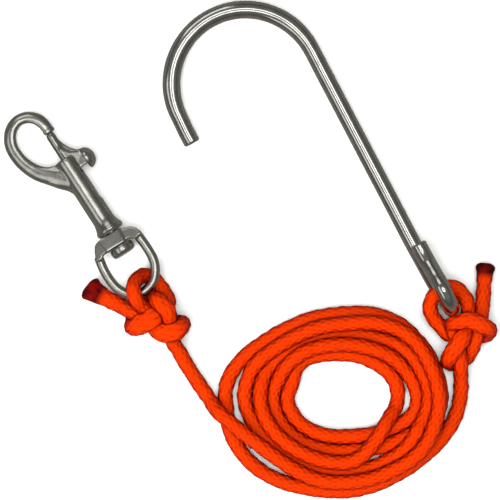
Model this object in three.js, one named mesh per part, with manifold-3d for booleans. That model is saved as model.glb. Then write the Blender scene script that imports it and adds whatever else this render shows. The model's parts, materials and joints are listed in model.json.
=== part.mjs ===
// Swivel-eye bolt snap and a long reef hook, tied to the two ends of one coiled braided line.
// Millimetres, +Z up. Everything lies on the plane z = 0. The origin is on that plane, under the
// middle of the metal parts, and +X runs along their longest side.
import * as THREE from 'three';
import { mergeVertices } from 'three/addons/utils/BufferGeometryUtils.js';
import Module from 'manifold-3d';

const wasm = await Module();
wasm.setup();

// ---------- driving dimensions ----------

const GAP = 0.3; // clearance between pieces that touch

const snap = {
  at: [-50.8, -24.6, 6.2], // point on the barrel's axis where its bottom flange begins
  heading: 33.03, // degrees the barrel is turned about Z, from +Y towards -X
  pitch: -3.75, // degrees about the local X axis: the eye end is held up by the line
  roll: -2.6, // degrees the body is turned on its swivel, so that the jaw rests on the table
};

const barrel = { radius: 4.35, top: 28.8, bottom: -5.5, flangeRadius: 5.3, flangeTop: -2 };
const jaw = { thickness: 4.6, bevel: 1.2 };
const bore = { radius: 2.2, x: 0.5, floor: 1.5 };
const slot = { width: 3.4, bottom: 8 };
const bolt = { radius: 1.85, bottom: 19.4, top: 40.4, webThickness: 2.6 };
const thumb = { x: 7.2, y: 24.2, radius: 4.2, height: 4 };
const spring = { radius: 1.6, wire: 0.3, turns: 10, bottom: 1.9, top: 18.8 };
const pin = { radius: 1.9, top: 1.2, headTop: -12.4, headBottom: -16, headRadius: 5, faceRadius: 4.2 };
const eye = { barRadius: 1.75, crossThickness: 6.6, bevel: 1.2 };

const hook = {
  at: [5.6, 29.4], // centre of the bend
  heading: 28.17, // degrees the shank is turned about Z, from +Y towards -X
  rodRadius: 3.3,
  bendRadius: 29.6, // to the rod's axis
  tipLength: 10.9,
  eyeCentre: -108.5, // along the shank, from the centre of the bend
  eyeRadius: 7.2, // to the rod's axis, in the vertical plane
  weldTop: -88.4,
  weldBottom: -98.2,
  lean: 0.8, // sideways offset of the return leg
};
hook.axisHeight = hook.rodRadius + 0.05;

const line = { radius: 3, sides: 10 };
const coil = { centre: [41, -97.5], halfLength: 46, halfWidth: 38.4, holeRatio: 0.4, height: 14 };
const knotBevel = 2.5;

// ---------- materials ----------

const steel = new THREE.MeshStandardMaterial({ color: 0x8f908a, roughness: 0.35, metalness: 1 });
const springSteel = new THREE.MeshStandardMaterial({ color: 0xb4b6b8, roughness: 0.25, metalness: 1 });
const braid = new THREE.MeshStandardMaterial({ color: 0xff4800, roughness: 0.85, metalness: 0 });

// ---------- geometry helpers ----------

const radians = THREE.MathUtils.degToRad;

const toVectors = (points) => points.map(([x, y]) => new THREE.Vector2(x, y));

function toSolid(geometry) {
  const bare = geometry.clone();
  bare.deleteAttribute('normal');
  bare.deleteAttribute('uv');
  const merged = mergeVertices(bare, 1e-4);
  return new wasm.Manifold(new wasm.Mesh({
    numProp: 3,
    vertProperties: new Float32Array(merged.attributes.position.array),
    triVerts: new Uint32Array(merged.index.array),
  }));
}

function toMesh(name, solid, material) {
  const { vertProperties, triVerts } = solid.getMesh();
  const geometry = new THREE.BufferGeometry();
  geometry.setAttribute('position', new THREE.BufferAttribute(vertProperties, 3));
  geometry.setIndex(new THREE.BufferAttribute(triVerts, 1));
  geometry.computeVertexNormals();
  const mesh = new THREE.Mesh(geometry, material);
  mesh.name = name;
  return mesh;
}

// A solid of revolution about Y, from [radius, height] pairs that rise from axis to axis.
function turned(profile, segments = 40) {
  return toSolid(new THREE.LatheGeometry(toVectors(profile), segments));
}

function rodAlongY(radius, bottom, top, x = 0) {
  const geometry = new THREE.CylinderGeometry(radius, radius, top - bottom, 32);
  return toSolid(geometry.translate(x, (top + bottom) / 2, 0));
}

// A plate of even thickness about z = 0 with rounded edges, from its outline in plan.
function plate(points, thickness, bevel) {
  const depth = thickness - 2 * bevel;
  const geometry = new THREE.ExtrudeGeometry(new THREE.Shape(toVectors(points)), {
    depth,
    bevelEnabled: bevel > 0,
    bevelThickness: bevel,
    bevelSize: bevel,
    bevelOffset: -bevel,
    bevelSegments: 2,
  });
  return toSolid(geometry.translate(0, 0, -depth / 2));
}

function circle(radius, sides) {
  const points = [];
  for (let i = 0; i < sides; i += 1) {
    const angle = (2 * Math.PI * i) / sides;
    points.push(new THREE.Vector2(radius * Math.cos(angle), radius * Math.sin(angle)));
  }
  return new THREE.Shape(points);
}

// A round bar along a smooth curve through the given points.
function bar(points, radius, sides, step) {
  const curve = new THREE.CatmullRomCurve3(points.map((p) => new THREE.Vector3(...p)), false, 'centripetal');
  const geometry = new THREE.ExtrudeGeometry(circle(radius, sides), {
    steps: Math.max(3, Math.round(curve.getLength() / step)),
    extrudePath: curve,
  });
  return toSolid(geometry);
}

// ---------- snap: body, bolt, spring, swivel pin and swivel eye ----------
// Local frame: Y along the barrel towards the jaw, X across the snap, Z up.

function makeSnapBody() {
  const b = barrel;
  const tube = turned([
    [0, b.bottom], [b.flangeRadius - 0.4, b.bottom], [b.flangeRadius, b.bottom + 0.6],
    [b.flangeRadius - 0.2, b.flangeTop - 0.6], [b.radius, b.flangeTop + 0.8], [b.radius, b.top - 2.4],
    [b.radius - 0.5, b.top - 1], [b.radius - 1.5, b.top], [0, b.top],
  ]);
  const outer = [
    [-1, 8], [-3.6, 13.4], [-5, 18], [-8.2, 21.4], [-12.6, 25.4], [-16, 31.4], [-17.7, 38.6], [-17.4, 44.4],
    [-15.4, 49.2], [-12, 52.6], [-7.4, 54], [-2.8, 53], [0.8, 50.2], [2.6, 46], [2.8, 41.4],
  ];
  const inner = [
    [-1.2, 41.2], [-1.4, 44], [-2.6, 47.2], [-5, 49.4], [-7.6, 50], [-10.2, 48.8], [-12.2, 45.6],
    [-12.8, 41], [-12, 36.2], [-9.6, 31.8], [-6.8, 29.4], [-4.6, 28.6],
  ];
  const outline = [
    ...new THREE.SplineCurve(toVectors(outer)).getPoints(22),
    ...new THREE.SplineCurve(toVectors(inner)).getPoints(16),
    new THREE.Vector2(2, 26),
    new THREE.Vector2(2, 10),
  ].map((p) => [p.x, p.y]);
  const jawPlate = plate(outline, jaw.thickness, jaw.bevel);
  const boltBore = rodAlongY(bore.radius, bore.floor, b.top + 1, bore.x);
  const pinBore = rodAlongY(bore.radius, b.bottom - 1, bore.floor + 0.5);
  const slotCut = toSolid(new THREE.BoxGeometry(b.radius * 2, b.top + 2 - slot.bottom, slot.width)
    .translate(bore.x + b.radius, (b.top + 2 + slot.bottom) / 2, 0));
  return tube.add(jawPlate).subtract(boltBore).subtract(pinBore).subtract(slotCut);
}

function makeBolt() {
  const rod = turned([
    [0, bolt.bottom], [bolt.radius, bolt.bottom], [bolt.radius, bolt.top - 0.8],
    [bolt.radius - 0.5, bolt.top], [0, bolt.top],
  ], 24).translate([bore.x, 0, 0]);
  const web = plate([
    [bore.x, 22.5], [7.6, 22.5], [7.9, 28.7], [6.2, 29.4], [4.4, 31.6], [3.2, 34], [2.1, 37.2], [bore.x, 37.2],
  ], bolt.webThickness, 0.5);
  const dome = [];
  const steps = 6;
  for (let i = 0; i <= steps; i += 1) {
    const angle = (Math.PI / 2) * (i / steps);
    dome.push([i === steps ? 0 : thumb.radius * Math.cos(angle), thumb.height * Math.sin(angle)]);
  }
  const button = turned([[0, 0], [thumb.radius - 0.5, 0], ...dome.slice(1)], 28)
    .rotate([0, 0, -90])
    .translate([thumb.x, thumb.y, 0]);
  return rod.add(web).add(button);
}

function makeSpring() {
  const points = [];
  const perTurn = 10;
  const count = spring.turns * perTurn;
  for (let i = 0; i <= count; i += 1) {
    const angle = (2 * Math.PI * i) / perTurn;
    const height = spring.bottom + ((spring.top - spring.bottom) * i) / count;
    points.push([bore.x + spring.radius * Math.cos(angle), height, spring.radius * Math.sin(angle)]);
  }
  return bar(points, spring.wire, 6, (2 * Math.PI * spring.radius) / perTurn);
}

function makeSwivelPin() {
  const p = pin;
  return turned([
    [0, p.headBottom], [p.faceRadius, p.headBottom], [p.headRadius, p.headBottom + 1.4],
    [p.headRadius - 0.3, p.headTop], [p.radius, p.headTop], [p.radius, p.top], [0, p.top],
  ]);
}

function makeSwivelEye() {
  const crossbar = plate([
    [-9.4, -13.4], [-11.2, -12.6], [-10.2, -9.8], [-8.6, -7], [-7, -6.2], [3.6, -6.2], [4.6, -7.4],
    [7.4, -8], [9.2, -9.8], [9.9, -12.8], [7.2, -13.6], [4.6, -12], [-7.6, -12],
  ], eye.crossThickness, eye.bevel);
  const bow = bar([
    [-9.7, -11.4, 0], [-10.6, -16, 0], [-10.9, -21, 0], [-10.4, -25.4, 0], [-8.8, -29, 0],
    [-6.2, -31.6, 0], [-3, -32.8, 0], [0.4, -32.6, 0], [3.6, -31.2, 0], [6.4, -28.2, 0],
    [8.1, -24.2, 0], [8.5, -19, 0], [8.1, -11.4, 0],
  ], eye.barRadius, 14, 2.2);
  const hole = rodAlongY(pin.radius + 0.4, -14, -5);
  return crossbar.add(bow).subtract(hole);
}

// ---------- hook ----------
// Local frame: Y along the shank towards the bend, X across, Z up, origin at the bend's centre.

function makeHook() {
  const h = hook;
  const z = h.axisHeight;
  const points = [[-h.bendRadius, -h.tipLength, z], [-h.bendRadius, -h.tipLength / 2, z]];
  const bendSteps = 12;
  for (let i = 0; i <= bendSteps; i += 1) {
    const angle = Math.PI - (Math.PI * i) / bendSteps;
    points.push([h.bendRadius * Math.cos(angle), h.bendRadius * Math.sin(angle), z]);
  }
  for (const y of [-10, -30, -50, -70, h.weldTop, h.weldBottom, h.eyeCentre + 4]) {
    points.push([h.bendRadius, y, z]);
  }
  const eyeSteps = 8;
  for (let i = 0; i <= eyeSteps; i += 1) {
    const angle = -Math.PI / 2 - (Math.PI * i) / eyeSteps;
    const x = h.bendRadius + (h.lean * i) / eyeSteps;
    const y = h.eyeCentre + h.eyeRadius * Math.cos(angle);
    points.push([x, y, z + h.eyeRadius + h.eyeRadius * Math.sin(angle)]);
  }
  const legZ = z + 2 * h.rodRadius + GAP;
  points.push([h.bendRadius + h.lean, h.eyeCentre + 5.6, legZ + 3.9]);
  points.push([h.bendRadius + h.lean, h.weldBottom + 1, legZ + 0.6]);
  points.push([h.bendRadius + h.lean, h.weldTop - 4, legZ]);
  points.push([h.bendRadius + h.lean, h.weldTop, legZ]);
  const rod = bar(points, h.rodRadius, 16, 2.6);
  const weldLength = h.weldTop - h.weldBottom - 2;
  const weld = toSolid(new THREE.BoxGeometry(3.2, weldLength, 2 * GAP + 3)
    .translate(h.bendRadius + h.lean / 2, (h.weldTop + h.weldBottom) / 2, (z + legZ) / 2));
  return rod.add(weld);
}

// ---------- line: one 6 mm braid, knotted to each fitting and coiled between them ----------
// Row frame. The coil and the two knots are plain solids of their outer shape.

const snapKnotOutline = [
  [-42.3, -64.4], [-41.6, -67.7], [-35.9, -70.7], [-29.1, -71.9], [-25, -74.9], [-19.6, -72.5],
  [-17.4, -68.2], [-18.1, -64.1], [-21.6, -61.1], [-23, -54.8], [-24.6, -51.7], [-27.6, -52.9], [-38.5, -60],
];
const hookKnotOutline = [
  [85.1, -72.2], [87.8, -66.8], [87.1, -64.2], [92.8, -60.2], [98.9, -61.7], [104.6, -64.7], [105, -68.7],
  [102.6, -71.2], [99.3, -76.8], [95.4, -81.7], [88.3, -84.4], [85.1, -81.7], [84.2, -77.5],
];
const knotHeight = 12.6;

// Runs of the line that aren't coiled or inside a knot, as points on its axis.
const runs = {
  snap_tail: [
    [-37.4, -63.6, 5], [-40.8, -61, 4.4], [-45.3, -58, 3.6], [-49.6, -55.4, 3.2], [-53.9, -52.8, 3.1],
    [-57.6, -50, 3.1],
  ],
  snap_loop: [
    [-26.1, -54.5, 3.6], [-28, -51.5, 3.1], [-29.9, -48.6, 3.1], [-32.5, -46.8, 3.6], [-35.1, -46.8, 6.3],
    [-37.4, -48.1, 9.6], [-38.8, -50.7, 12.4], [-38.6, -54.1, 13.7], [-36.9, -57.3, 13], [-34.5, -59.9, 11],
  ],
  snap_lead: [
    [-23.9, -71.5, 5], [-21.9, -74.9, 3.6], [-19.6, -79.4, 3.1], [-15.9, -85.4, 3.1], [-11.5, -92, 3.4],
    [-7.3, -97.7, 5], [-2.6, -102.9, 8.2], [2.7, -107.9, 9],
  ],
  hook_lead: [
    [90.5, -80.6, 5], [91.4, -84.8, 3.8], [91.9, -89.9, 3.1], [91.7, -95.3, 3.1], [90.3, -101.5, 3.1],
    [87.4, -107.8, 3.1], [82.6, -113.8, 3.1], [77, -119, 3.1],
  ],
  hook_loop: [
    [89.3, -72.7, 5], [85.4, -69.2, 5.2], [80.8, -64.9, 6.6], [78.4, -60.3, 8.6], [79.6, -56, 10.2],
    [83.5, -51.9, 9.9], [88.4, -51, 9.9], [91.6, -53.2, 9.2], [93.9, -57, 7.6], [94.6, -60.4, 5.6],
    [94.4, -64.5, 4.6],
  ],
  hook_tail: [[99.4, -66, 8], [100.5, -60.4, 7.4], [100.9, -55.5, 4.8], [101, -50, 3.3], [101.2, -43.6, 3.1]],
};

function makeKnot(outline, grow = 0) {
  const centre = new THREE.Vector2();
  outline.forEach(([x, y]) => centre.add(new THREE.Vector2(x, y).divideScalar(outline.length)));
  const grown = outline.map(([x, y]) => {
    const arm = new THREE.Vector2(x, y).sub(centre);
    arm.setLength(arm.length() + 1.4 * grow);
    return [centre.x + arm.x, centre.y + arm.y];
  });
  return plate(grown, knotHeight + 2 * grow, knotBevel).translate([0, 0, knotHeight / 2]);
}

function makeCoil(grow = 0) {
  const outer = 1 + grow / coil.halfWidth;
  const inner = coil.holeRatio - grow / coil.halfWidth;
  const low = -grow;
  const high = coil.height + grow;
  const edge = 4;
  const slope = edge / coil.halfWidth;
  const profile = [
    [inner, low + edge], [inner + slope, low], [outer - slope, low], [outer, low + edge],
    [outer, high - edge], [outer - slope, high], [inner + slope, high], [inner, high - edge],
    [inner, low + edge],
  ];
  const ring = new THREE.LatheGeometry(toVectors(profile), 44);
  ring.rotateX(Math.PI / 2);
  ring.scale(coil.halfLength, coil.halfWidth, 1);
  return toSolid(ring).translate([coil.centre[0], coil.centre[1], 0]);
}

function makeRun(name) {
  const blocks = { snap: makeKnot(snapKnotOutline, GAP), hook: makeKnot(hookKnotOutline, GAP) };
  const run = bar(runs[name], line.radius, line.sides, 4.5);
  const clear = run.subtract(blocks[name.split('_')[0]]);
  return name.endsWith('lead') ? clear.subtract(makeCoil(GAP)) : clear;
}

// ---------- assembly ----------

const product = new THREE.Group();

const snapFrame = new THREE.Group();
snapFrame.position.set(...snap.at);
snapFrame.rotation.set(radians(snap.pitch), 0, radians(snap.heading), 'ZXY');
const bodyFrame = new THREE.Group();
bodyFrame.rotation.y = radians(snap.roll);
bodyFrame.add(
  toMesh('snap_body', makeSnapBody(), steel),
  toMesh('bolt', makeBolt(), steel),
  toMesh('bolt_spring', makeSpring(), springSteel),
  toMesh('swivel_pin', makeSwivelPin(), steel),
);
snapFrame.add(bodyFrame, toMesh('swivel_eye', makeSwivelEye(), steel));

const hookFrame = new THREE.Group();
hookFrame.position.set(...hook.at, 0);
hookFrame.rotation.z = radians(hook.heading);
hookFrame.add(toMesh('hook', makeHook(), steel));

product.add(snapFrame, hookFrame);
product.add(
  toMesh('snap_knot', makeKnot(snapKnotOutline), braid),
  toMesh('hook_knot', makeKnot(hookKnotOutline), braid),
  toMesh('line_coil', makeCoil(), braid),
);
Object.keys(runs).forEach((name) => product.add(toMesh(name, makeRun(name), braid)));

export default product;
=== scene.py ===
"""Swivel-eye bolt snap and long reef hook on one coiled orange braid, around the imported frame.

Shapes are worked out in millimetres and scaled to metres when a mesh is made.
"""

import json
import math

import bmesh
import bpy
import numpy as np
from mathutils import Matrix, Vector
from mathutils.kdtree import KDTree


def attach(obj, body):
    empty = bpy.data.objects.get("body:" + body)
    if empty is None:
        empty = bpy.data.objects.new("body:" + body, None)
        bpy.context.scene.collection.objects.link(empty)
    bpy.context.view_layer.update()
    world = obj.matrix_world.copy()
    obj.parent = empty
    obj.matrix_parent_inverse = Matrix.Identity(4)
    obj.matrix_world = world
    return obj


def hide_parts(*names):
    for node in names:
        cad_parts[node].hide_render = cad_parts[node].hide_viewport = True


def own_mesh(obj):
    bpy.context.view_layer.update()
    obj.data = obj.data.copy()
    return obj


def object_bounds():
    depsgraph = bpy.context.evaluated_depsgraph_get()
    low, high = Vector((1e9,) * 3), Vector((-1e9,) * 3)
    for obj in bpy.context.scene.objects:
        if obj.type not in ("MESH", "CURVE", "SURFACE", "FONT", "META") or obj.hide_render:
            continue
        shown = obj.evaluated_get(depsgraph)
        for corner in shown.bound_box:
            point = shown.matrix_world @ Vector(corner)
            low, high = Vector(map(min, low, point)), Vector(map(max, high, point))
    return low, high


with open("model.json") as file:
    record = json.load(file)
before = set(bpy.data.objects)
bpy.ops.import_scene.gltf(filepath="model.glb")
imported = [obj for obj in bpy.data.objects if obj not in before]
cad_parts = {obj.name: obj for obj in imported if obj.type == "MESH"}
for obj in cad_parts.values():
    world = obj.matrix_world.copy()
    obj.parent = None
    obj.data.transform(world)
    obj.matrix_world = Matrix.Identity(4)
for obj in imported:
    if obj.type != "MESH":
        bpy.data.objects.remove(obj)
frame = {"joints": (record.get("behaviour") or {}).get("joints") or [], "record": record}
cad_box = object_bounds()

MM = 0.001


# ---------- camera, floor and light ----------

def make_camera():
    """Looks straight down on the whole object, from far enough for little perspective."""
    distance = 1.3
    view_width = 0.2
    off_x, off_y = 0.0003, 0.0001  # the photo's framing isn't quite centred
    data = bpy.data.cameras.new("camera")
    data.sensor_width = 36
    data.lens = data.sensor_width * distance / view_width
    data.clip_end = 10
    camera = bpy.data.objects.new("camera", data)
    low, high = cad_box
    middle = [(low[axis] + high[axis]) / 2 for axis in range(2)]
    camera.location = (middle[0] + off_x, middle[1] + off_y, distance)
    bpy.context.scene.collection.objects.link(camera)
    bpy.context.scene.camera = camera


def make_floor():
    """A pale sheet just under the object. The metal doesn't mirror it."""
    mesh = bpy.data.meshes.new("floor")
    half = 3
    corners = [(-half, -half, 0), (half, -half, 0), (half, half, 0), (-half, half, 0)]
    mesh.from_pydata(corners, [], [(0, 1, 2, 3)])
    floor = bpy.data.objects.new("floor", mesh)
    floor.location.z = -0.00005
    bpy.context.scene.collection.objects.link(floor)
    material = bpy.data.materials.new("floor_paper")
    material.use_nodes = True
    shader = material.node_tree.nodes["Principled BSDF"]
    shader.inputs["Base Color"].default_value = (0.93, 0.93, 0.92, 1)
    shader.inputs["Roughness"].default_value = 0.9
    mesh.materials.append(material)
    floor.visible_glossy = False


def make_light(name, place, size, power, aim=(0, 0, 0), glossy=True):
    """An area light that makes either the metal's highlights or the even light on everything else."""
    data = bpy.data.lights.new(name, "AREA")
    data.shape = "RECTANGLE"
    data.size, data.size_y = size
    data.energy = power
    light = bpy.data.objects.new(name, data)
    bpy.context.scene.collection.objects.link(light)
    light.location = place
    light.rotation_euler = (Vector(aim) - Vector(place)).to_track_quat("-Z", "Y").to_euler()
    light.visible_glossy = glossy
    light.visible_diffuse = not glossy


def make_lights():
    """The even light from overhead and one side, and the boxes that the metal mirrors.

    Four of the boxes make a square ring round the camera's line of sight. The overhead light is
    above them, because it would hide them from the metal at their own height.
    """
    make_light("fill", (0, 0, 2.0), (1.6, 1.6), 50, glossy=False)
    make_light("side_fill", (-1.0, -0.95, 1.25), (1.0, 1.0), 30, glossy=False)
    height, gap, watts_per_area = 1.6, 0.2, 10
    ring = [("right", 1, 0, 0.36), ("left", -1, 0, 0.24), ("back", 0, 1, 0.24), ("front", 0, -1, 0.24)]
    for name, x, y, width in ring:
        reach = gap + width / 2
        size = (width, 2 * gap + width) if x else (2 * gap, width)
        below = (x * reach, y * reach, 0)
        power = watts_per_area * size[0] * size[1]
        make_light(f"ring_{name}", (x * reach, y * reach, height), size, power, below)
    make_light("left_box", (-0.88, -0.5, 1.0), (1.6, 0.5), 2.6)
    make_light("back_box", (-0.5, 0.9, 0.85), (0.7, 0.45), 1.3)
    make_sky()
    bpy.context.scene.view_settings.view_transform = "Standard"


def make_sky():
    """A dim room, darkest a little above the horizon, that gives the metal its dark bands."""
    world = bpy.data.worlds.new("studio")
    world.use_nodes = True
    tree = world.node_tree
    direction = add(tree, "ShaderNodeTexCoord").outputs["Generated"]
    height_in_sky = add(tree, "ShaderNodeSeparateXYZ", {"Vector": direction}).outputs["Z"]
    sky = ramp(tree, height_in_sky, [
        (0.0, (0.24, 0.24, 0.22)), (0.4, (0.105, 0.105, 0.096)), (1.0, (0.26, 0.26, 0.24)),
    ])
    tree.links.new(sky, tree.nodes["Background"].inputs["Color"])
    tree.nodes["Background"].inputs["Strength"].default_value = 1.0
    bpy.context.scene.world = world


# ---------- curves and meshes ----------

def spaced(points, step):
    """The same polyline with its points at an even distance."""
    run = np.concatenate([[0], np.cumsum(np.linalg.norm(np.diff(points, axis=0), axis=1))])
    count = max(2, int(round(run[-1] / step)) + 1)
    at = np.linspace(0, run[-1], count)
    return np.stack([np.interp(at, run, column) for column in points.T], axis=1)


def through(points, step):
    """Evenly spaced points on the centripetal Catmull-Rom curve through the given points."""
    p = np.asarray(points, float)
    p = np.vstack([2 * p[0] - p[1], p, 2 * p[-1] - p[-2]])
    knots = np.sqrt(np.linalg.norm(np.diff(p[:, :3], axis=0), axis=1))
    t = np.concatenate([[0], np.cumsum(knots)])
    fine = []
    for i in range(1, len(p) - 2):
        u = np.linspace(t[i], t[i + 1], 16, endpoint=False)[:, None]

        def mix(a, b, ta, tb):
            return ((tb - u) * a + (u - ta) * b) / (tb - ta)

        a = mix(p[i - 1], p[i], t[i - 1], t[i])
        b = mix(p[i], p[i + 1], t[i], t[i + 1])
        c = mix(p[i + 1], p[i + 2], t[i + 1], t[i + 2])
        ab = mix(a, b, t[i - 1], t[i + 1])
        bc = mix(b, c, t[i], t[i + 2])
        fine.append(mix(ab, bc, t[i], t[i + 1]))
    fine.append(p[-2:-1])
    return spaced(np.vstack(fine), step)


def frames_along(path, first_side):
    """Tangent, side and up at each point of the path, turned as little as possible."""
    tangent = np.gradient(path, axis=0)
    tangent /= np.linalg.norm(tangent, axis=1)[:, None]
    side = np.zeros_like(path)
    last = np.asarray(first_side, float)
    for i, t in enumerate(tangent):
        last = last - t * np.dot(last, t)
        last /= np.linalg.norm(last)
        side[i] = last
    return tangent, side, np.cross(tangent, side)


def grid_faces(rings, sides):
    """Quads of a tube whose vertices run ring by ring."""
    ring, spot = np.meshgrid(np.arange(rings - 1), np.arange(sides), indexing="ij")
    ahead = (spot + 1) % sides
    here, there = ring * sides, (ring + 1) * sides
    corners = [here + spot, there + spot, there + ahead, here + ahead]
    return np.stack(corners, axis=-1).reshape(-1, 4)


def tube(path, half_sizes, sides, power=2.0, first_side=(1, 0, 0), skew=0.0):
    """A bar along the path, from its half width and half height at each point.

    A power of 2 makes it oval and more makes it boxy. skew moves its crown towards first_side, as a
    share of the half width.
    """
    tangent, side, up = frames_along(path, first_side)
    half = np.broadcast_to(np.asarray(half_sizes, float), (len(path), 2))
    angle = 2 * np.pi * np.arange(sides) / sides
    cosine, sine = np.cos(angle), np.sin(angle)
    reach = (np.abs(cosine) ** power + np.abs(sine) ** power) ** (-1 / power)
    across = half[:, :1] * (cosine * reach + skew * np.abs(sine * reach) ** 2)
    over = half[:, 1:] * (sine * reach)
    points = path[:, None] + across[..., None] * side[:, None] + over[..., None] * up[:, None]
    faces = [tuple(face) for face in grid_faces(len(path), sides)]
    faces.append(tuple(range(sides)))
    faces.append(tuple(len(path) * sides - 1 - i for i in range(sides)))
    return points.reshape(-1, 3), faces


def lathe(profile, sides):
    """A solid of revolution about Y from (radius, height) pairs that start and end on the axis."""
    inner = np.asarray(profile[1:-1], float)
    angle = 2 * np.pi * np.arange(sides) / sides
    x = inner[:, :1] * np.cos(angle)
    z = inner[:, :1] * np.sin(angle)
    y = np.broadcast_to(inner[:, 1:], x.shape)
    points = np.stack([x, y, z], axis=-1).reshape(-1, 3)
    points = np.vstack([points, [[0, profile[0][1], 0], [0, profile[-1][1], 0]]])
    start, end = len(points) - 2, len(points) - 1
    faces = [tuple(face) for face in grid_faces(len(inner), sides)]
    top = (len(inner) - 1) * sides
    for i in range(sides):
        ahead = (i + 1) % sides
        faces.append((start, i, ahead))
        faces.append((end, top + ahead, top + i))
    return points, faces


def leaning(solid, lean_x, lean_y, about=(0, 0)):
    """Tilts the two faces of a flat solid, mirrored, so that it is thicker towards one side."""
    points, faces = solid
    rise = lean_x * (points[:, 0] - about[0]) + lean_y * (points[:, 1] - about[1])
    points = points.copy()
    points[:, 2] += np.sign(points[:, 2]) * rise
    return points, faces


def slab(outline, low, high):
    """A prism between two heights from its outline in plan, counter-clockwise."""
    count = len(outline)
    points = [(x, y, z) for z in (low, high) for x, y in outline]
    faces = [tuple(range(count - 1, -1, -1)), tuple(range(count, 2 * count))]
    faces += [(i, (i + 1) % count, count + (i + 1) % count, count + i) for i in range(count)]
    return np.asarray(points, float), faces


def to_object(name, parts):
    """One object, still in millimetres, from several (points, faces)."""
    points, faces, base = [], [], 0
    for part_points, part_faces in parts:
        points.append(part_points)
        faces += [tuple(base + i for i in face) for face in part_faces]
        base += len(part_points)
    mesh = bpy.data.meshes.new(name)
    mesh.from_pydata(np.vstack(points).tolist(), [], faces)
    mesh.validate()
    made = bpy.data.objects.new(name, mesh)
    bpy.context.scene.collection.objects.link(made)
    return made


def outward(made):
    """Turns every face of each closed part of the mesh to point out."""
    work = bmesh.new()
    work.from_mesh(made.data)
    bmesh.ops.recalc_face_normals(work, faces=work.faces)
    work.to_mesh(made.data)
    work.free()


def bake_modifiers(made):
    """Replaces the mesh by what its modifiers make of it."""
    bpy.context.view_layer.update()
    graph = bpy.context.evaluated_depsgraph_get()
    mesh = bpy.data.meshes.new_from_object(made.evaluated_get(graph))
    made.modifiers.clear()
    old = made.data
    made.data = mesh
    bpy.data.meshes.remove(old)


def remesh(made, voxel, rounds, factor=0.5):
    """Joins overlapping parts into one skin and rounds its edges."""
    skin = made.modifiers.new("skin", "REMESH")
    skin.mode = "VOXEL"
    skin.voxel_size = voxel
    skin.use_smooth_shade = True
    soften = made.modifiers.new("soften", "SMOOTH")
    soften.factor = factor
    soften.iterations = rounds
    bake_modifiers(made)


def cast(name, parts, cuts, voxel, rounds, edge_voxel, edge_rounds):
    """One solid from parts that overlap: they run together with fillets, and the cuts come after."""
    made = to_object(name, parts)
    outward(made)
    remesh(made, voxel, rounds)
    for i, cut in enumerate(cuts):
        tool = to_object(f"{name}_cut_{i}", [cut])
        outward(tool)
        trim = made.modifiers.new("trim", "BOOLEAN")
        trim.operation = "DIFFERENCE"
        trim.solver = "EXACT"
        trim.object = tool
        bake_modifiers(made)
        bpy.data.objects.remove(tool)
    if cuts:
        remesh(made, edge_voxel, edge_rounds)
    return made


def finish_piece(made, body, material, nodes, matrix=None):
    """Puts the piece in its place in metres, on its body, with its material, for its CAD nodes."""
    if matrix is not None:
        made.data.transform(matrix)
    made.data.transform(Matrix.Scale(MM, 4))
    for polygon in made.data.polygons:
        polygon.use_smooth = True
    made.data.materials.clear()
    made.data.materials.append(material)
    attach(made, body)
    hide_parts(*nodes)


# ---------- frames of the two fittings, from the joints ----------

joints = {joint["name"]: joint for joint in frame["joints"]}


def fitting_frame(origin, x_axis, y_axis):
    """Matrix of a local frame in millimetres, with X and Y along the given axes."""
    x = Vector(x_axis).normalized()
    z = x.cross(Vector(y_axis)).normalized()
    y = z.cross(x)
    matrix = Matrix((x, y, z)).transposed().to_4x4()
    matrix.translation = origin
    return matrix


BODY_ROLL = -2.6  # degrees the snap is turned on its swivel, so that the jaw rests on the table
swivel = joints["snap_swivel"]
eye_frame = fitting_frame(Vector(swivel["pos_m"]) / MM, joints["eye_lift"]["axis"], swivel["axis"])
body_frame = eye_frame @ Matrix.Rotation(math.radians(BODY_ROLL), 4, "Y")

HOOK_EYE = (29.6, -108.5, 10.55)  # the hook's lift axis in the hook's own frame
hook_x = Vector(joints["hook_lift"]["axis"])
hook_frame = fitting_frame((0, 0, 0), hook_x, Vector((0, 0, 1)).cross(hook_x))
hook_frame.translation = Vector(joints["hook_lift"]["pos_m"]) / MM - hook_frame @ Vector(HOOK_EYE)


# ---------- the line ----------

LINE_RADIUS = 3.0
OTHER_STRAND = 8.5  # points further apart than this along the line may press on each other

# Runs of the line as points on its axis, in millimetres, close to where the CAD solids have it. A
# fourth number is how much the strand is squeezed wide, and 1 where there is none.
SNAP_TAIL = [
    (-57.6, -50.9, 3.4, 1.4), (-54.4, -53.6, 3.3, 1.32), (-49.7, -56, 3.4, 1.15),
    (-45.3, -58.3, 3.8, 1.05), (-41.6, -60.2, 5.4, 1.0),
]
SNAP_LOOP = [
    (-26.1, -54.5, 3.8), (-28, -51.5, 3.1), (-29.9, -48.6, 3.1), (-32.5, -46.8, 3.6),
    (-35.1, -46.8, 6.3), (-37.4, -48.1, 9.6), (-38.8, -50.7, 12.4), (-38.6, -54.1, 13.7),
    (-36.9, -57.3, 12),
]
SNAP_LEAD = [
    (-24.2, -72.5, 6.4), (-21.9, -74.9, 4.6), (-19.6, -79.4, 3.1), (-15.9, -85.4, 3.1),
    (-11.5, -92, 3.4), (-7.3, -97.7, 5), (-2.6, -102.9, 8.2), (2.7, -107.9, 9),
]
COIL_ENTRY = [(10, -113.4, 9.4), (19, -120, 9), (28.6, -125.8, 8.6), (37.5, -129, 8.2)]
HOOK_LEAD = [
    (82.6, -113.8, 3.1), (87.4, -107.8, 3.1), (90.3, -101.5, 3.1), (91.7, -95.3, 3.1),
    (91.9, -89.9, 3.4), (91.4, -84.8, 5),
]
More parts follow.
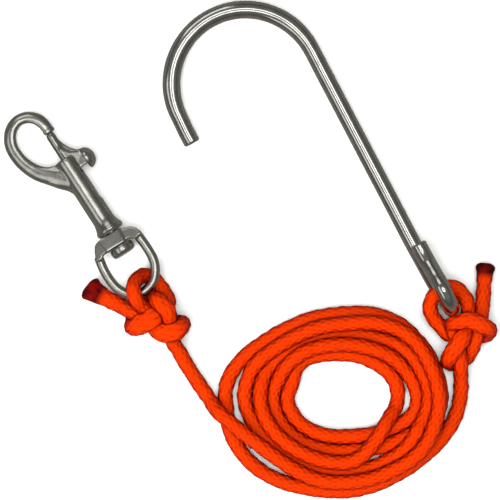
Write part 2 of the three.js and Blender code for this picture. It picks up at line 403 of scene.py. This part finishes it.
HOOK_LOOP = [
    (84.4, -68, 4.6), (80.8, -64.4, 6.6), (78.4, -60.3, 8.6), (79.6, -56, 10.2), (83.5, -51.9, 9.9),
    (88.4, -51, 9.9), (91.6, -53.2, 9.2), (93.9, -57, 7.6), (94.6, -60.4, 6.4),
]
HOOK_TAIL = [
    (99.2, -66, 7.6), (100, -60.4, 7), (100.6, -54.5, 4.8), (101.1, -48, 3.3), (101.7, -41.9, 3.2, 1.15),
]

# Inside the snap's bowline the points are given from above in the snap's own direction: across it,
# along it, and height over the table, then the width.
SNAP_KNOT_BACK = [
    (-9.7, -40.6, 7.2, 1.0), (-6.4, -45.2, 4.4, 1.05), (-2, -48.6, 2.8, 1.1), (2.4, -50.8, 2.9, 1.1),
]
SNAP_KNOT_COLLAR = [
    (4.2, -51.6, 5.6, 1.1), (3.0, -52.2, 9.6, 1.25), (-0.6, -52.0, 12, 1.4), (-4.2, -50.8, 11.8, 1.4),
    (-6.6, -48.6, 9.8, 1.1), (-6.1, -44.6, 7.6, 1), (-5.7, -40.6, 8, 1),
]
SNAP_KNOT_WRAP = [
    (4.6, -39.2, 4.6, 1.0), (4, -42.2, 6.6, 1.05), (0.6, -43.6, 8, 1.2), (-3.8, -43.8, 11.6, 1.45),
    (-8, -43.2, 12.6, 1.45), (-11, -42.6, 10.6, 1.35), (-12.4, -41.4, 6.6, 1.1), (-11, -40.2, 3.4, 1.05),
    (-8, -38.4, 2.7, 1.1), (-4, -36.8, 2.9, 1.1), (-1.2, -36.2, 5.6, 1.05), (0.3, -37, 9.4, 1.1),
    (0.9, -40.4, 12.6, 1.2), (0.8, -44.2, 12.8, 1.2), (-0.2, -48, 9.8, 1.1), (-1.6, -52, 7, 1.05),
]


def from_snap_plan(points):
    """Plan points along and across the snap, as row points with the same heights."""
    across = Vector(joints["eye_lift"]["axis"])
    along = Vector((-across.y, across.x, 0))
    origin = Vector(swivel["pos_m"]) / MM
    return [
        (origin.x + v * across.x + u * along.x, origin.y + v * across.y + u * along.y, z, w)
        for v, u, z, w in points
    ]


# The hook's bowline, in the same way as the runs.
HOOK_KNOT_RISE = [(91, -80.6, 7), (90.6, -76, 7.4), (89.8, -71.4, 6.6), (88, -67.6, 6.4)]
HOOK_KNOT_WRAP = [
    (87, -65, 8.6, 1.0), (88.8, -63.6, 11, 1.05), (92, -63.8, 12.4, 1.12), (96.6, -65.2, 12.8, 1.15),
    (100.6, -67, 11.4, 1.12), (102.9, -68.7, 8, 1.05), (102, -70.4, 4.6, 1.05), (97.6, -71, 2.8, 1.1),
    (92.4, -71.6, 2.7, 1.1), (87.8, -70.8, 3.2, 1.05),
]
HOOK_KNOT_COLLAR = [
    (94.2, -64.8, 7.2, 1.0), (93, -68.6, 8.8, 1.1), (91.4, -71.6, 11.2, 1.15), (89.4, -75, 12.2, 1.2),
    (87.4, -78.4, 11, 1.15), (86.5, -80.9, 7.6, 1.05), (87.8, -82.4, 4.2, 1.05), (91, -81.8, 2.8, 1.1),
    (94.2, -79.4, 3.4, 1.05), (96.2, -76, 5.4, 1.0), (97.4, -71.8, 7, 1.0),
]

# The coil: how far the line reaches from the coil's centre at each quarter of each turn, and its
# height over the table at each eighth, from the bottom of the turn and counter-clockwise.
COIL_CENTRE = np.array([44.0, -95.0])
COIL_REACH = [
    34.7, 38.7, 28.8, 39.1,
    30.7, 35.0, 24.4, 32.7,
    27.0, 23.0, 17.6, 22.8,
    16.3, 31.9, 20.8, 27.2,
    22.3, 40.6, 32.8, 46.8,
    37.8, 47.8,
]
COIL_HEIGHT = [
    8, 10.5, 12, 10.5, 8.8, 8.4, 5, 3,
    3, 7.5, 8, 5, 3, 4, 7.5, 8,
    7.6, 9.6, 3, 3, 3, 3, 3, 3,
    3, 3, 3, 5.6, 8, 6.4, 3, 3,
    3, 3, 3, 3, 3, 3, 3, 3,
    3, 3, 3,
]
# How far each diagonal bulges from a true ellipse, from the lower right and counter-clockwise.
COIL_BULGE = [
    0, 2.2, -2, -2.2,
    0, 0, -1.5, 0,
    -3.5, 0, 2.4, 0.8,
    0.8, 0.5, -0.8, -0.9,
    -1, 1, -2.6, 2.5,
    -2.5,
]
# The quarters that start flatter than they end, and by how much.
COIL_LEAN = {1: 1.4, 17: 1.6}


def coil_points(per_quarter=8):
    """The coil's turns, from the snap's lead to where the last turn leaves for the hook."""
    quarters = len(COIL_REACH) - 1
    first, last = 1, quarters * per_quarter - 4
    made = []
    for i in range(first, last + 1):
        turn = i / per_quarter
        quarter = min(int(turn), quarters - 1)

        def reach(parity):
            """Reach along one axis: quarters alternate between bottom or top and the sides."""
            before = quarter if quarter % 2 == parity else quarter - 1
            ahead = before + 2
            before = max(before, parity)
            ahead = min(ahead, quarters - (quarters - parity) % 2)
            along = 0 if ahead == before else (turn - before) / (ahead - before)
            along = min(max(along, 0), 1)
            smooth = along * along * (3 - 2 * along)
            return COIL_REACH[before] * (1 - smooth) + COIL_REACH[ahead] * smooth

        angle = math.pi / 2 * (turn - 1)
        bulge = COIL_BULGE[quarter] * math.sin(2 * angle) ** 2
        bulge -= COIL_LEAN.get(quarter, 0) * math.sin(4 * angle)
        x = COIL_CENTRE[0] + (reach(1) + bulge) * math.cos(angle)
        y = COIL_CENTRE[1] + (reach(0) + bulge) * math.sin(angle)
        eighth = turn * 2
        below = int(eighth)
        part = eighth - below
        above = min(below + 1, len(COIL_HEIGHT) - 1)
        z = COIL_HEIGHT[below] * (1 - part) + COIL_HEIGHT[above] * part
        made.append((x, y, z, 1.0))
    return made


def with_width(points):
    return [tuple(p) if len(p) == 4 else (*p, 1.0) for p in points]


def line_route():
    """The whole line, from its end at the snap to its end at the hook, with its width everywhere."""
    snap_knot = from_snap_plan(SNAP_KNOT_BACK + SNAP_KNOT_COLLAR)
    snap_wrap = from_snap_plan(SNAP_KNOT_WRAP)
    route = with_width(SNAP_TAIL) + snap_knot + with_width(SNAP_LOOP[::-1]) + snap_wrap
    route += with_width(SNAP_LEAD + COIL_ENTRY) + coil_points() + with_width(HOOK_LEAD)
    route += with_width(HOOK_KNOT_RISE) + HOOK_KNOT_WRAP + with_width(HOOK_LOOP) + HOOK_KNOT_COLLAR
    route += with_width(HOOK_TAIL)
    return np.asarray(route)


# ---------- the two bars that the line is tied through ----------

BOW = [
    (-9.7, -11.4), (-10.6, -16), (-10.9, -21), (-10.4, -25.4), (-8.8, -29), (-6.2, -31.6), (-3, -32.8),
    (0.4, -32.6), (3.6, -31.2), (6.4, -28.2), (8.1, -24.2), (8.5, -19), (8.1, -11.4),
]
BOW_RADIUS = 1.95
ROD_RADIUS = 3.3


def bow_path(step):
    return through([(x, y, 0) for x, y in BOW], step)


def hook_path(step):
    """Axis of the hook's rod in its own frame, from the tip to the end of the folded leg."""
    bend, tip, floor = HOOK_EYE[0], 10.9, ROD_RADIUS + 0.05
    eye_y, eye_radius, lean = HOOK_EYE[1], 7.2, 0.8
    leg = floor + 2 * ROD_RADIUS + 0.3
    points = [(-bend, -tip, floor), (-bend, -tip / 2, floor)]
    for i in range(25):
        angle = math.pi * (1 - i / 24)
        points.append((bend * math.cos(angle) + 0.3, (bend + 0.1) * math.sin(angle), floor))
    points += [(bend + 0.3 + 0.009 * y, y, floor) for y in (-10, -30, -50, -70, -88)]
    points += [(bend - 0.4, -97, floor), (bend - 0.3, eye_y + 4, floor)]
    for i in range(13):
        angle = -math.pi / 2 - math.pi * i / 12
        y = eye_y + (eye_radius + 1.6) * math.cos(angle)
        points.append((bend + lean * i / 12, y, floor + eye_radius * (1 + math.sin(angle))))
    points += [(bend + lean, eye_y + 5.6, leg + 4.4), (bend + lean, -97.2, leg + 1.2)]
    points += [(bend + lean, -92.4, leg), (bend + lean, -88.4, leg)]
    return through(points, step)


def in_frame(matrix, points):
    """Points of a fitting's frame as points of the shared frame, in millimetres."""
    turn = np.array(matrix.to_3x3())
    return points @ turn.T + np.array(matrix.translation)


# ---------- the line's shape ----------

def settle(path, obstacles, rounds=260):
    """Lets the line come to rest: even length, gentle bends, no strand in another or in the steel."""
    aim = path.copy()
    step = np.mean(np.linalg.norm(np.diff(path, axis=0), axis=1))
    index = np.arange(len(path))
    coil_left, coil_right, coil_top = COIL_CENTRE[0] - 54, COIL_CENTRE[0] + 52, -58
    knot_left, knot_bottom = 84, -90
    x, y = aim[:, 0], aim[:, 1]
    in_coil = (x > coil_left) & (x < coil_right) & (y < coil_top)
    in_coil &= ~((x > knot_left) & (y > knot_bottom))
    soft = np.where(in_coil, 0.97, 0.8) * LINE_RADIUS
    far = np.abs(index[:, None] - index[None, :]) * step > OTHER_STRAND
    need = (soft[:, None] + soft[None, :]) * far
    hold = np.where(in_coil, 0.045, 0.12)[:, None] * np.array([1, 1, 0.5])
    drop = np.where(in_coil, 0.035, 0.02)
    for turn in range(rounds):
        path = path + hold * (aim - path)
        path[:, 2] -= drop
        middle = (path[:-2] + path[2:]) / 2 - path[1:-1]
        path[1:-1] += 0.2 * middle
        for _ in range(2):
            span = np.diff(path, axis=0)
            size = np.linalg.norm(span, axis=1)[:, None]
            fix = 0.25 * span * (1 - step / size)
            path[:-1] += fix
            path[1:] -= fix
        apart = path[:, None] - path[None, :]
        distance = np.sqrt((apart ** 2).sum(-1)) + 1e-6
        press = np.clip(need - distance, 0, 1.2)
        push = (apart * (press / distance)[..., None]).sum(1)
        crowd = np.maximum((press > 0).sum(1), 1)[:, None]
        path = path + 0.9 * push / crowd
        for points, reach in obstacles:
            away = path[:, None] - points[None, :]
            distance = np.sqrt((away ** 2).sum(-1)) + 1e-6
            near = distance.argmin(1)
            short = np.clip(reach - distance[index, near], 0, 1)
            path += away[index, near] * (short / distance[index, near])[:, None]
        path[:, 2] = np.maximum(path[:, 2], LINE_RADIUS + 0.02)
    return path


def braid_relief(along, angle, carriers=8, lay=9.5):
    """Height of a round braid's strands, 0 to 1, at a distance along it and an angle round it."""
    turn = carriers * angle / (2 * np.pi)
    one = turn + carriers * along / (lay * 4)
    two = turn - carriers * along / (lay * 4)
    over = np.mod(np.floor(one) + np.floor(two), 2) < 1
    across_one = np.abs(np.sin(np.pi * one))
    across_two = np.abs(np.sin(np.pi * two))
    top = np.where(over, across_one, across_two)
    arch = np.where(over, across_two, across_one)
    return top ** 0.5 * (0.55 + 0.45 * arch)


def braided_tube(name, path, width, sides=44, relief=0.46):
    """The line's skin: braided, flat where it presses on itself, and melted at its ends."""
    step = np.mean(np.linalg.norm(np.diff(path, axis=0), axis=1))
    rings = len(path)
    along = step * np.arange(rings)
    tangent, side, up = frames_along(path, (0, 0, 1))
    angle = 2 * np.pi * np.arange(sides) / sides
    slip = 0.5 * np.sin(along / 9.1) + 0.35 * np.sin(along / 3.7 + 2)
    raised = braid_relief((along + slip)[:, None], angle[None, :] + 0.12 * np.sin(along / 5.3)[:, None])
    from_end = np.minimum(along, along[-1] - along)
    sealed = np.where(along < along[-1] / 2, 6, 3.8)
    melted = np.clip(1 - (from_end - sealed) / 3, 0, 1)
    raised = raised * (1 - 0.85 * melted[:, None]) + 0.5 * melted[:, None]
    swell = 1 + 0.022 * np.sin(2 * np.pi * along / 5.7) + 0.02 * np.sin(2 * np.pi * along / 13.1 + 1)
    swell *= 1 + 0.2 * np.clip(1 - (from_end - 2.5) / 6.5, 0, 1) ** 1.3
    rounding = np.sqrt(np.clip(1 - 0.8 * np.clip(1 - from_end / 2.2, 0, 1) ** 2, 0.02, 1))
    radius = (LINE_RADIUS + 0.12 - relief * (1 - raised)) * (swell * rounding)[:, None]
    cosine, sine = np.cos(angle)[None, :, None], np.sin(angle)[None, :, None]
    offset = cosine * side[:, None] + sine * up[:, None]
    offset = offset * radius[..., None]
    offset[..., :2] *= width[:, None, None]
    offset[..., 2] /= np.sqrt(width)[:, None]
    points, contact_shade = press_strands(path, offset, step)
    points[..., 2] = np.maximum(points[..., 2], 0.03)
    flat = points.reshape(-1, 3)
    faces = [tuple(face) for face in grid_faces(rings, sides)]
    faces.append(tuple(range(sides)))
    faces.append(tuple(rings * sides - 1 - i for i in range(sides)))
    made = to_object(name, [(flat, faces)])
    # The material paints shade from relief, in the braid's low parts, and from how close other strands
    # come.
    store(made, "relief", raised.ravel())
    store(made, "contact_shade", contact_shade.ravel())
    store(made, "melted", np.repeat(melted, sides))
    return made


def press_strands(path, offset, step):
    """Flattens each strand against the ones that it touches, and says how close each point is.

    Each of two strands stops just short of the plane midway between their axes.
    """
    clearance = 0.04
    tree = KDTree(len(path))
    for i, point in enumerate(path):
        tree.insert(point, i)
    tree.balance()
    points = path[:, None] + offset
    # How close another strand comes, kept for the painted shade where strands meet.
    contact_shade = np.zeros(offset.shape[:2])
    reach = LINE_RADIUS * 1.25
    apart = int(OTHER_STRAND / step)
    busy = [i for i, point in enumerate(path) if has_neighbour(tree, point, i, apart)]
    for i in busy:
        for j in range(offset.shape[1]):
            for _, other, distance in tree.find_range(points[i, j], reach):
                if abs(other - i) <= apart:
                    continue
                line = path[other] - path[i]
                gap = np.linalg.norm(line)
                line = line / gap
                sits = offset[i, j] @ line
                if sits > gap / 2 - clearance:
                    offset[i, j] *= (gap / 2 - clearance) / sits
                    points[i, j] = path[i] + offset[i, j]
                contact_shade[i, j] = max(contact_shade[i, j], 1 - distance / reach)
    return points, contact_shade


def has_neighbour(tree, point, i, apart):
    """True where another strand is close enough to press on this one."""
    return any(abs(other - i) > apart for _, other, _ in tree.find_range(point, 2.6 * LINE_RADIUS))


def store(made, name, values):
    """Keeps one number for each vertex, for the materials to read."""
    layer = made.data.attributes.new(name, "FLOAT", "POINT")
    layer.data.foreach_set("value", np.asarray(values, np.float32))


def make_line():
    """The line in one piece, settled."""
    route = line_route()
    rough = through(route, 2.0)
    path, width = rough[:, :3], rough[:, 3]
    bow = in_frame(eye_frame, bow_path(1.0))
    rod = in_frame(hook_frame, hook_path(1.5))
    obstacles = [(bow, BOW_RADIUS + LINE_RADIUS + 0.15), (rod, ROD_RADIUS + LINE_RADIUS + 0.15)]
    path = settle(path, obstacles)
    rough = np.column_stack([path, width])
    fine = through(rough[::2], 0.48)
    made = braided_tube("line", fine[:, :3], fine[:, 3])
    finish_piece(made, "line", braid_material(), frame["record"]["physics"]["cord_nodes"])


# ---------- materials ----------

def new_material(name):
    material = bpy.data.materials.new(name)
    material.use_nodes = True
    tree = material.node_tree
    return material, tree, tree.nodes["Principled BSDF"]


def add(tree, kind, inputs=None, **settings):
    """A node with its settings and socket values."""
    node = tree.nodes.new(kind)
    for key, value in settings.items():
        setattr(node, key, value)
    for key, value in (inputs or {}).items():
        if isinstance(value, bpy.types.NodeSocket):
            tree.links.new(value, node.inputs[key])
        else:
            node.inputs[key].default_value = value
    return node


def ramp(tree, factor, stops):
    """Colours by place along a factor from 0 to 1."""
    node = add(tree, "ShaderNodeValToRGB", {"Fac": factor})
    elements = node.color_ramp.elements
    while len(elements) < len(stops):
        elements.new(0.5)
    for element, (place, colour) in zip(elements, stops):
        element.position = place
        element.color = (*colour, 1)
    return node.outputs["Color"]


def blend_colour(tree, factor, one, two, how="MIX"):
    """Two colours, sockets or plain ones, mixed by a factor."""
    node = add(tree, "ShaderNodeMix", {"Factor": factor}, data_type="RGBA", blend_type=how)
    for socket, value in ((node.inputs[6], one), (node.inputs[7], two)):
        if isinstance(value, bpy.types.NodeSocket):
            tree.links.new(value, socket)
        else:
            socket.default_value = (*value, 1)
    return node.outputs[2]


def attribute(tree, name):
    """A number that store() kept on the mesh."""
    return add(tree, "ShaderNodeAttribute", attribute_name=name).outputs["Fac"]


def braid_material():
    """Orange braid with painted light and shade: brighter on its strands and painted shade in the braid's
    low parts, lighter where it faces up with painted shade on its sides, and painted dark red shade where
    strands meet.
    """
    material, tree, shader = new_material("orange_braid")
    place = add(tree, "ShaderNodeTexCoord").outputs["Object"]
    mottle = add(tree, "ShaderNodeTexNoise", {"Vector": place, "Scale": 240, "Detail": 4}).outputs["Fac"]
    fibre = add(tree, "ShaderNodeTexNoise", {"Vector": place, "Scale": 2600, "Detail": 3}).outputs["Fac"]
    # Painted shade: darker red in the low parts of the braid, between its strands.
    body = ramp(tree, attribute(tree, "relief"), [(0.1, (0.32, 0.005, 0.0)), (0.5, (0.6, 0.036, 0.0))])
    body = blend_colour(tree, mottle, body, blend_colour(tree, 0.4, body, (0.5, 0.008, 0.0)))
    # Painted light and shade: lighter where the surface faces up, darker red on its sides.
    facing = add(tree, "ShaderNodeNewGeometry").outputs["Normal"]
    upward = add(tree, "ShaderNodeSeparateXYZ", {"Vector": facing}).outputs["Z"]
    painted_top_light = ramp(tree, upward, [(0.1, (0.16, 0.05, 0.05)), (0.5, (0.6, 0.35, 0.35)), (0.86, (1, 1, 1))])
    body = blend_colour(tree, 1.0, body, painted_top_light, "MULTIPLY")
    # Painted shade: dark red where another strand comes close.
    painted_contact_shade = ramp(tree, attribute(tree, "contact_shade"), [(0.02, (0, 0, 0)), (0.3, (1, 1, 1))])
    body = blend_colour(tree, painted_contact_shade, body, (0.07, 0.0, 0.0))
    sealed = ramp(tree, mottle, [(0.42, (0.02, 0.001, 0.001)), (0.64, (0.15, 0.002, 0.001))])
    body = blend_colour(tree, attribute(tree, "melted"), body, sealed)
    tree.links.new(body, shader.inputs["Base Color"])
    shader.inputs["Roughness"].default_value = 0.7
    shader.inputs["Specular IOR Level"].default_value = 0.05
    bump = add(tree, "ShaderNodeBump", {"Height": fibre, "Strength": 0.35, "Distance": 0.0002})
    tree.links.new(bump.outputs["Normal"], shader.inputs["Normal"])
    return material


def steel_material(name, colour, smooth, rough, grain=(1, 1, 1), wave=0.12):
    """Stainless steel: uneven polish, fine scratches or grain, and the slight waves of a casting."""
    material, tree, shader = new_material(name)
    place = add(tree, "ShaderNodeTexCoord").outputs["Object"]
    drawn = add(tree, "ShaderNodeMapping", {"Vector": place, "Scale": grain}).outputs["Vector"]
    cloud = add(tree, "ShaderNodeTexNoise", {"Vector": place, "Scale": 190, "Detail": 5}).outputs["Fac"]
    fine = add(tree, "ShaderNodeTexNoise", {"Vector": drawn, "Scale": 2100, "Detail": 4}).outputs["Fac"]
    broad = add(tree, "ShaderNodeTexNoise", {"Vector": place, "Scale": 150, "Detail": 2}).outputs["Fac"]
    dull = tuple(0.78 * c for c in colour)
    tone = ramp(tree, cloud, [(0.3, dull), (0.62, colour)])
    tree.links.new(tone, shader.inputs["Base Color"])
    shader.inputs["Metallic"].default_value = 1
    spread = add(tree, "ShaderNodeMapRange", {"Value": fine, "To Min": smooth, "To Max": rough})
    tree.links.new(spread.outputs["Result"], shader.inputs["Roughness"])
    waves = add(tree, "ShaderNodeBump", {"Height": broad, "Strength": wave, "Distance": 0.001})
    scratch = add(tree, "ShaderNodeBump", {
        "Height": fine, "Strength": 0.1, "Distance": 0.00004, "Normal": waves.outputs["Normal"],
    })
    tree.links.new(scratch.outputs["Normal"], shader.inputs["Normal"])
    return material


# ---------- the snap ----------

BARREL_RADIUS = 4.45
BARREL_TOP = 28.8
BORE = (0.5, 2.2)  # where its axis lies across the barrel, and its radius
SLOT_WIDTH = 3.4

# The snap's shapes lie in body_frame: X across it, Y along it towards the jaw, Z up. The jaw's
# middle line runs from its nose to the barrel: across, along, half width, half thickness.
JAW = [
    (0.9, 40.75, 2.2, 1.8), (0.9, 41.1, 2.45, 2.0), (0.95, 41.8, 2.45, 2.0), (0.95, 42.4, 2.25, 1.9),
    (0.85, 44.3, 2.3, 2.0), (0.2, 46.9, 2.4, 2.05), (-1.2, 49.2, 2.35, 2.1), (-3.8, 51.2, 2.3, 2.1),
    (-7.4, 52, 2.25, 2.1), (-11.1, 50.7, 2.35, 2.15), (-13.9, 47.6, 2.45, 2.2), (-15.2, 44.3, 2.55, 2.25),
    (-15.4, 40.5, 2.65, 2.3), (-14.7, 36, 2.75, 2.35), (-12.4, 30.6, 3.05, 2.5), (-9, 26.6, 3.5, 2.8),
    (-5.8, 23.4, 4.1, 3.2), (-2.9, 19.8, 3.9, 3.5), (-1.2, 15, 3.0, 3.7), (-0.5, 11, 2.4, 3.4),
]
JAW_GUSSET = [(-10, 24), (-6, 20), (-1, 20), (-1, 28.5), (-4.4, 28.5), (-6.6, 29.3), (-9, 30.4)]


def rod_y(radius, bottom, top, x=0, sides=64):
    """A cylinder along Y."""
    points, faces = lathe([(0, bottom), (radius, bottom), (radius, top), (0, top)], sides)
    return points + np.array([x, 0, 0]), faces


def box_part(low, high):
    outline = [(low[0], low[1]), (high[0], low[1]), (high[0], high[1]), (low[0], high[1])]
    return slab(outline, low[2], high[2])


def make_snap_body(material):
    r = BARREL_RADIUS
    barrel = lathe([
        (0, -5.9), (4.9, -5.9), (5.6, -5.6), (5.8, -5.2), (5.8, -4.4), (5.2, -3.2), (r + 0.3, -1.9),
        (r, -0.5), (r, 14), (r, BARREL_TOP - 0.9), (r - 0.3, BARREL_TOP - 0.3), (r - 0.9, BARREL_TOP),
        (0, BARREL_TOP),
    ], 96)
    line = through([(x, y, 0, w, t) for x, y, w, t in JAW], 0.6)
    jaw = tube(line[:, :3], line[:, [3, 4]], 40, power=2.2, first_side=(-1, 0, 0), skew=0.35)
    cuts = [
        rod_y(BORE[1], 1.5, BARREL_TOP + 4, BORE[0]),
        rod_y(BORE[1], -8, 2),
        box_part((BORE[0], 8, -SLOT_WIDTH / 2), (10, BARREL_TOP + 3, SLOT_WIDTH / 2)),
    ]
    body = cast("snap_body_cast", [barrel, jaw, slab(JAW_GUSSET, -2.3, 2.3)], cuts, 0.34, 9, 0.26, 3)
    finish_piece(body, "snap_body", material, ["snap_body"], body_frame)


def make_bolt(material):
    x = BORE[0]
    rod = lathe([
        (0, 19.4), (1.5, 19.4), (1.85, 19.8), (1.9, 39.2), (1.75, 40.1), (1.4, 40.6), (0, 40.6),
    ], 64)
    rod = (rod[0] + np.array([x, 0, 0]), rod[1])
    web = slab([
        (x, 22.5), (7.8, 22.5), (7.9, 28.7), (6.2, 29.3), (4.5, 31.5), (3.2, 34), (2.2, 37), (x, 37.4),
    ], -1.5, 1.5)
    ridge = slab([(x, 23.6), (7.8, 24), (7.8, 27.6), (3.4, 30), (x, 34)], -1.75, 1.75)
    web = leaning(web, -0.13, -0.1, (3, 28))
    ridge = leaning(ridge, -0.24, 0.02, (4, 26))
    radius, height, rim, across, along = 4.45, 4.1, 0.55, 7.2, 24.4
    dome = [(0, 0), (radius - 0.35, 0), (radius, 0.25), (radius, rim)]
    for i in range(1, 10):
        angle = math.pi / 2 * i / 10
        dome.append((radius * math.cos(angle), rim + (height - rim) * math.sin(angle)))
    dome.append((0, height))
    points, faces = lathe(dome, 64)
    button = (np.stack([across + points[:, 1], along - points[:, 0], points[:, 2]], axis=1), faces)
    bolt = cast("bolt_cast", [rod, web, ridge, button], [], 0.24, 5, 0, 0)
    finish_piece(bolt, "bolt", material, ["bolt"], body_frame)


def make_spring(material):
    turns, low, high, radius = 10, 1.9, 18.8, 1.6
    angle = np.linspace(0, 2 * np.pi * turns, 24 * turns)
    line = np.stack([
        BORE[0] + radius * np.cos(angle), np.linspace(low, high, len(angle)), radius * np.sin(angle),
    ], axis=1)
    spring = to_object("bolt_spring_wire", [tube(line, (0.3, 0.3), 12)])
    outward(spring)
    finish_piece(spring, "snap_body", material, ["bolt_spring"], body_frame)
    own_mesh(spring)


def make_pin(material):
    pin = cast("swivel_pin_turned", [lathe([
        (0, -16), (4.1, -16), (4.7, -15.6), (5, -14.8), (5, -13.2), (4.6, -12.4), (1.9, -12.4),
        (1.9, 1.2), (0, 1.2),
    ], 96)], [], 0.24, 4, 0, 0)
    finish_piece(pin, "snap_body", material, ["swivel_pin"], body_frame)


def make_eye(material):
    arms = slab([
        (-7.6, -12), (4.6, -12), (7.2, -13.6), (9.9, -12.8), (9.3, -9.9), (7.4, -8), (4.6, -7.4),
        (3.6, -6.4), (-7, -6.3), (-8.7, -7.1), (-10.3, -9.8), (-11.4, -12.6), (-9.4, -13.4),
    ], -2.3, 2.3)
    arms = leaning(arms, 0.04, -0.22, (0, -9.5))
    boss = slab([(-5.6, -12.1), (2.8, -12.1), (3.3, -6.2), (-6.3, -6.2)], -3.3, 3.3)
    boss = leaning(boss, -0.03, -0.16, (-1.5, -9))
    bow = bow_path(0.6)
    loop = tube(bow, (BOW_RADIUS, BOW_RADIUS), 40, first_side=(-1, 0, 0))
    hole = rod_y(2.3, -13.5, -4)
    eye = cast("swivel_eye_cast", [arms, boss, loop], [hole], 0.28, 7, 0.24, 3)
    finish_piece(eye, "swivel_eye", material, ["swivel_eye"], eye_frame)


# ---------- the hook ----------

def make_hook(material):
    """One bent bar, its ends sawn square and filed, with a weld between it and its folded leg."""
    line = hook_path(0.5)
    run = np.linspace(0, np.linalg.norm(np.diff(line, axis=0), axis=1).sum(), len(line))
    from_end = np.minimum(run, run[-1] - run)
    radius = ROD_RADIUS - 0.45 * np.clip(1 - from_end / 0.5, 0, 1)
    bent = np.clip(line[:, 1] / 12, 0, 1)
    half_sizes = np.stack([radius + 0.28 * bent, radius - 0.1 * bent], axis=1)
    bar = tube(line, half_sizes, 56, first_side=(-1, 0, 0))
    hook = to_object("hook_bar", [bar])
    outward(hook)
    finish_piece(hook, "hook", material, ["hook"], hook_frame)
    beads = []
    low, high, step = -98, -88.9, 0.75
    for side in (-1, 1):
        path = through([
            (HOOK_EYE[0] + 0.4 + side * 1.9, y, ROD_RADIUS * 2 + 0.2 + 0.12 * math.sin(2.1 * y))
            for y in np.arange(low, high, step)
        ], 0.25)
        index = np.arange(len(path))
        ripple = 1.15 + 0.12 * np.sin(index * 0.9)
        ends = np.clip(np.minimum(index, index[::-1]) / 4, 0.3, 1)
        size = ripple * np.sqrt(ends)
        beads.append(tube(path, np.stack([size, size], axis=1), 20))
    weld = cast("hook_weld", beads, [], 0.2, 3, 0, 0)
    finish_piece(weld, "hook", material, ["hook"], hook_frame)


def make_metal():
    cast_steel = steel_material("cast_stainless", (0.52, 0.51, 0.47), 0.2, 0.3, wave=0.07)
    bar_steel = steel_material(
        "drawn_bar", (0.55, 0.54, 0.51), 0.1, 0.16, grain=(1, 0.04, 1), wave=0.015,
    )
    wire_steel = steel_material("spring_wire", (0.62, 0.63, 0.64), 0.14, 0.22)
    make_snap_body(cast_steel)
    make_bolt(cast_steel)
    make_spring(wire_steel)
    make_pin(cast_steel)
    make_eye(cast_steel)
    make_hook(bar_steel)


make_camera()
make_floor()
make_lights()
make_line()
make_metal()
